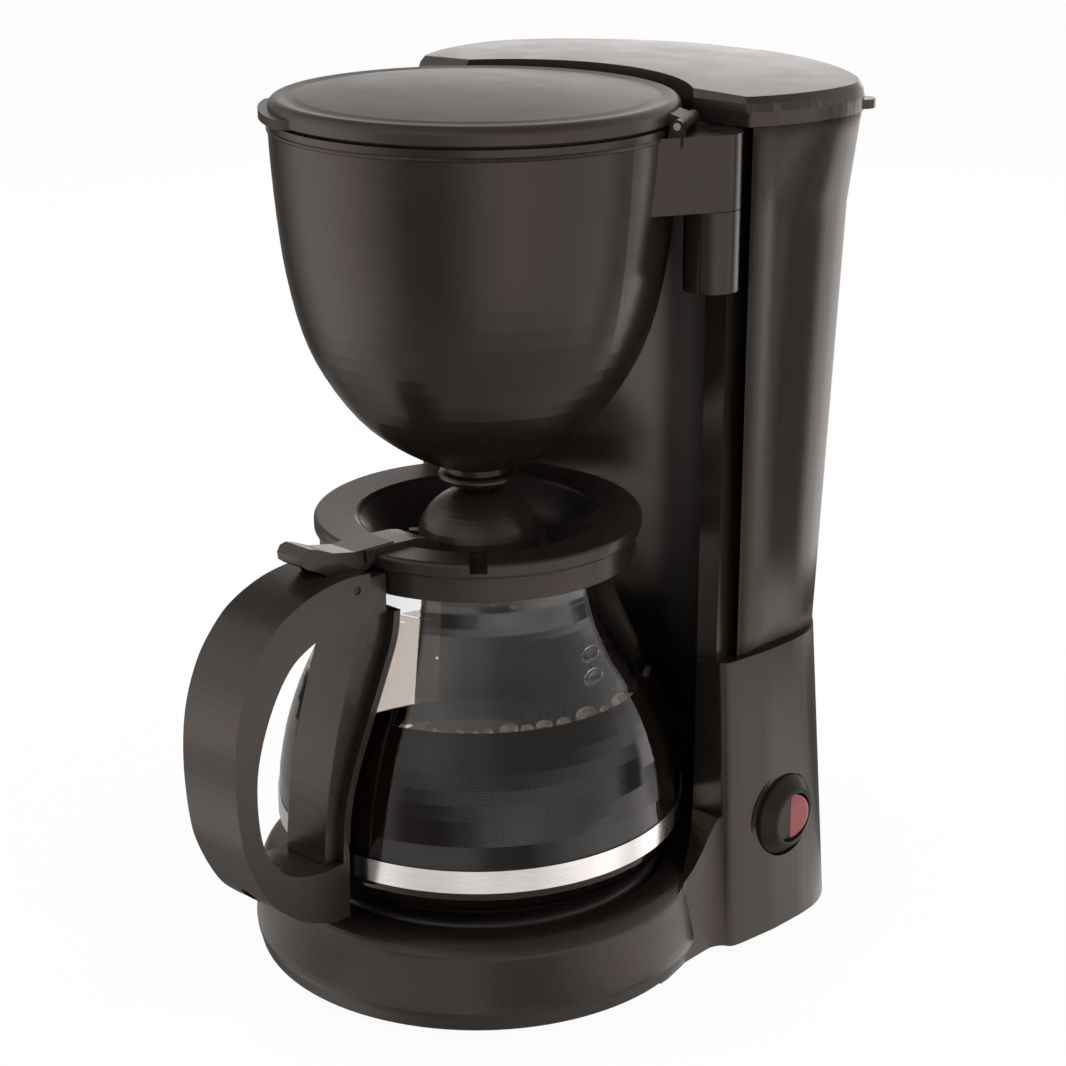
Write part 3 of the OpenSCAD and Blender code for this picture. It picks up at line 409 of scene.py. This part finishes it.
def mapped(t, source, low, high, to_low=0.0, to_high=1.0):
    n = t.nodes.new("ShaderNodeMapRange")
    n.interpolation_type = "SMOOTHSTEP"
    for key, value in (("From Min", low), ("From Max", high), ("To Min", to_low), ("To Max", to_high)):
        n.inputs[key].default_value = value
    t.links.new(source, n.inputs["Value"])
    return n


def mixed(t, amount, a, b):
    n = t.nodes.new("ShaderNodeMixRGB")
    t.links.new(amount.outputs[0], n.inputs[0])
    t.links.new(a.outputs[0], n.inputs[1])
    t.links.new(b.outputs[0], n.inputs[2])
    return n


def bearing(t, coordinate):
    """Share of the way round, from behind the object by its left, and the turned coordinates."""
    where = t.nodes.new("ShaderNodeTexCoord")
    turn = t.nodes.new("ShaderNodeVectorRotate")
    turn.rotation_type = "Z_AXIS"
    turn.inputs["Angle"].default_value = CAMERA_BEARING
    t.links.new(where.outputs[coordinate], turn.inputs["Vector"])
    xyz = t.nodes.new("ShaderNodeSeparateXYZ")
    t.links.new(turn.outputs[0], xyz.inputs[0])
    angle = t.nodes.new("ShaderNodeMath")
    angle.operation = "ARCTAN2"
    t.links.new(xyz.outputs["Y"], angle.inputs[0])
    t.links.new(xyz.outputs["X"], angle.inputs[1])
    around = mapped(t, angle.outputs[0], -math.pi, math.pi)
    around.interpolation_type = "LINEAR"
    return around, xyz


def seen_directly(t):
    """Two factors: seen by the camera, straight or only through glass; and seen in a reflection."""
    def maths(operation, a, b):
        n = t.nodes.new("ShaderNodeMath")
        n.operation = operation
        t.links.new(a, n.inputs[0])
        if b is None:
            n.inputs[1].default_value = 0.5
        else:
            t.links.new(b, n.inputs[1])
        return n
    path = t.nodes.new("ShaderNodeLightPath")
    shiny = maths("GREATER_THAN", path.outputs["Glossy Depth"], None)
    straight = maths("LESS_THAN", path.outputs["Glossy Depth"], None)
    through = maths("MULTIPLY", path.outputs["Is Transmission Ray"], straight.outputs[0])
    return maths("MAXIMUM", path.outputs["Is Camera Ray"], through.outputs[0]), shiny


def make_world():
    w = bpy.data.worlds.new("studio")
    w.use_nodes = True
    w.cycles.sampling_method = "NONE"
    bpy.context.scene.world = w
    t = w.node_tree
    t.nodes.clear()
    out = t.nodes.new("ShaderNodeOutputWorld")
    around, xyz = bearing(t, "Generated")
    low, mid, level, high = (studio_ramp(t, around, table)
                             for table in (STUDIO_LOW, STUDIO_MID, STUDIO_LEVEL, STUDIO_HIGH))
    body = mixed(t, mapped(t, xyz.outputs["Z"], -0.68, -0.5), low, mid)
    body = mixed(t, mapped(t, xyz.outputs["Z"], -0.1, 0.03), body, level)
    body = mixed(t, mapped(t, xyz.outputs["Z"], 0.03, 0.2), body, high)
    fade = mapped(t, xyz.outputs["Z"], 0.4, 0.9, STUDIO_TOP, STUDIO_OVERHEAD)
    mirror = t.nodes.new("ShaderNodeBackground")
    t.links.new(body.outputs[0], mirror.inputs["Color"])
    t.links.new(fade.outputs[0], mirror.inputs["Strength"])
    soft = t.nodes.new("ShaderNodeBackground")
    soft.inputs["Color"].default_value = (1, 0.985, 0.97, 1)
    soft.inputs["Strength"].default_value = SOFT_LEVEL
    white = t.nodes.new("ShaderNodeBackground")
    white.inputs["Color"].default_value = (1, 1, 1, 1)
    white.inputs["Strength"].default_value = 1.0
    most, shiny = seen_directly(t)
    dull = t.nodes.new("ShaderNodeMixShader")
    t.links.new(shiny.outputs[0], dull.inputs[0])
    t.links.new(soft.outputs[0], dull.inputs[1])
    t.links.new(mirror.outputs[0], dull.inputs[2])
    mix = t.nodes.new("ShaderNodeMixShader")
    t.links.new(most.outputs[0], mix.inputs[0])
    t.links.new(dull.outputs[0], mix.inputs[1])
    t.links.new(white.outputs[0], mix.inputs[2])
    t.links.new(mix.outputs[0], out.inputs[0])


def make_lamps():
    light("key", (-0.75, -1.0, 1.15), (0, 0, 0.16), 12, 0.9, 1.2)
    light("right", (1.25, 0.35, 0.75), (0, 0.05, 0.16), 14, 0.7, 1.3)
    light("rear", (-0.5, 1.35, 0.9), (0, 0.05, 0.25), 10, 1.6, 0.8)


def floor_material():
    """White to the camera, the studio's near table to mirrors, open to them further out."""
    m = bpy.data.materials.new("floor")
    m.use_nodes = True
    b = m.node_tree.nodes["Principled BSDF"]
    b.inputs["Base Color"].default_value = (0.9, 0.9, 0.89, 1)
    b.inputs["Roughness"].default_value = 0.7
    vary_colour(m, noise(m, 3, 2), (0.89, 0.89, 0.885), (0.91, 0.91, 0.905))
    emit = node(m, "ShaderNodeEmission")
    blend = node(m, "ShaderNodeMixShader")
    amount = node(m, "ShaderNodeMath", operation="MULTIPLY")
    amount.inputs[1].default_value = FLOOR_GLOW
    t = m.node_tree
    most, shiny = seen_directly(t)
    clear = node(m, "ShaderNodeBsdfTransparent")
    around, xyz = bearing(t, "Object")
    near = node(m, "ShaderNodeEmission", Strength=STUDIO_TOP)
    t.links.new(studio_ramp(t, around, STUDIO_TABLE).outputs[0], near.inputs["Color"])
    reach = node(m, "ShaderNodeVectorMath", operation="LENGTH")
    link(m, node(m, "ShaderNodeTexCoord"), "Object", reach, 0)
    steep = node(m, "ShaderNodeSeparateXYZ")
    link(m, node(m, "ShaderNodeNewGeometry"), "Incoming", steep, 0)
    inside = node(m, "ShaderNodeMath", operation="MULTIPLY")
    t.links.new(mapped(t, reach.outputs["Value"], TABLE_RADIUS, TABLE_RADIUS + TABLE_EDGE, 1, 0).outputs[0],
                inside.inputs[0])
    t.links.new(mapped(t, steep.outputs["Z"], 0.4, 0.55, 1, 0).outputs[0], inside.inputs[1])
    table = node(m, "ShaderNodeMixShader")
    t.links.new(inside.outputs[0], table.inputs[0])
    t.links.new(clear.outputs[0], table.inputs[1])
    t.links.new(near.outputs[0], table.inputs[2])
    t.links.new(most.outputs[0], amount.inputs[0])
    t.links.new(amount.outputs[0], blend.inputs[0])
    t.links.new(b.outputs[0], blend.inputs[1])
    t.links.new(emit.outputs[0], blend.inputs[2])
    open_up = node(m, "ShaderNodeMixShader")
    t.links.new(shiny.outputs[0], open_up.inputs[0])
    t.links.new(blend.outputs[0], open_up.inputs[1])
    t.links.new(table.outputs[0], open_up.inputs[2])
    t.links.new(open_up.outputs[0], t.nodes["Material Output"].inputs["Surface"])
    return m


def make_floor():
    bm = bmesh.new()
    bmesh.ops.create_grid(bm, x_segments=2, y_segments=2, size=FLOOR_HALF_SIDE)
    me = bpy.data.meshes.new("floor")
    bm.to_mesh(me)
    bm.free()
    me.materials.append(floor_material())
    o = bpy.data.objects.new("floor", me)
    o.location = (0, 0, -0.0002)
    bpy.context.scene.collection.objects.link(o)


make_camera()
materials = make_materials()
dress(materials)
make_coffee()
make_froth()
make_drops()
make_world()
make_lamps()
make_floor()
bpy.context.scene.view_settings.view_transform = "Standard"
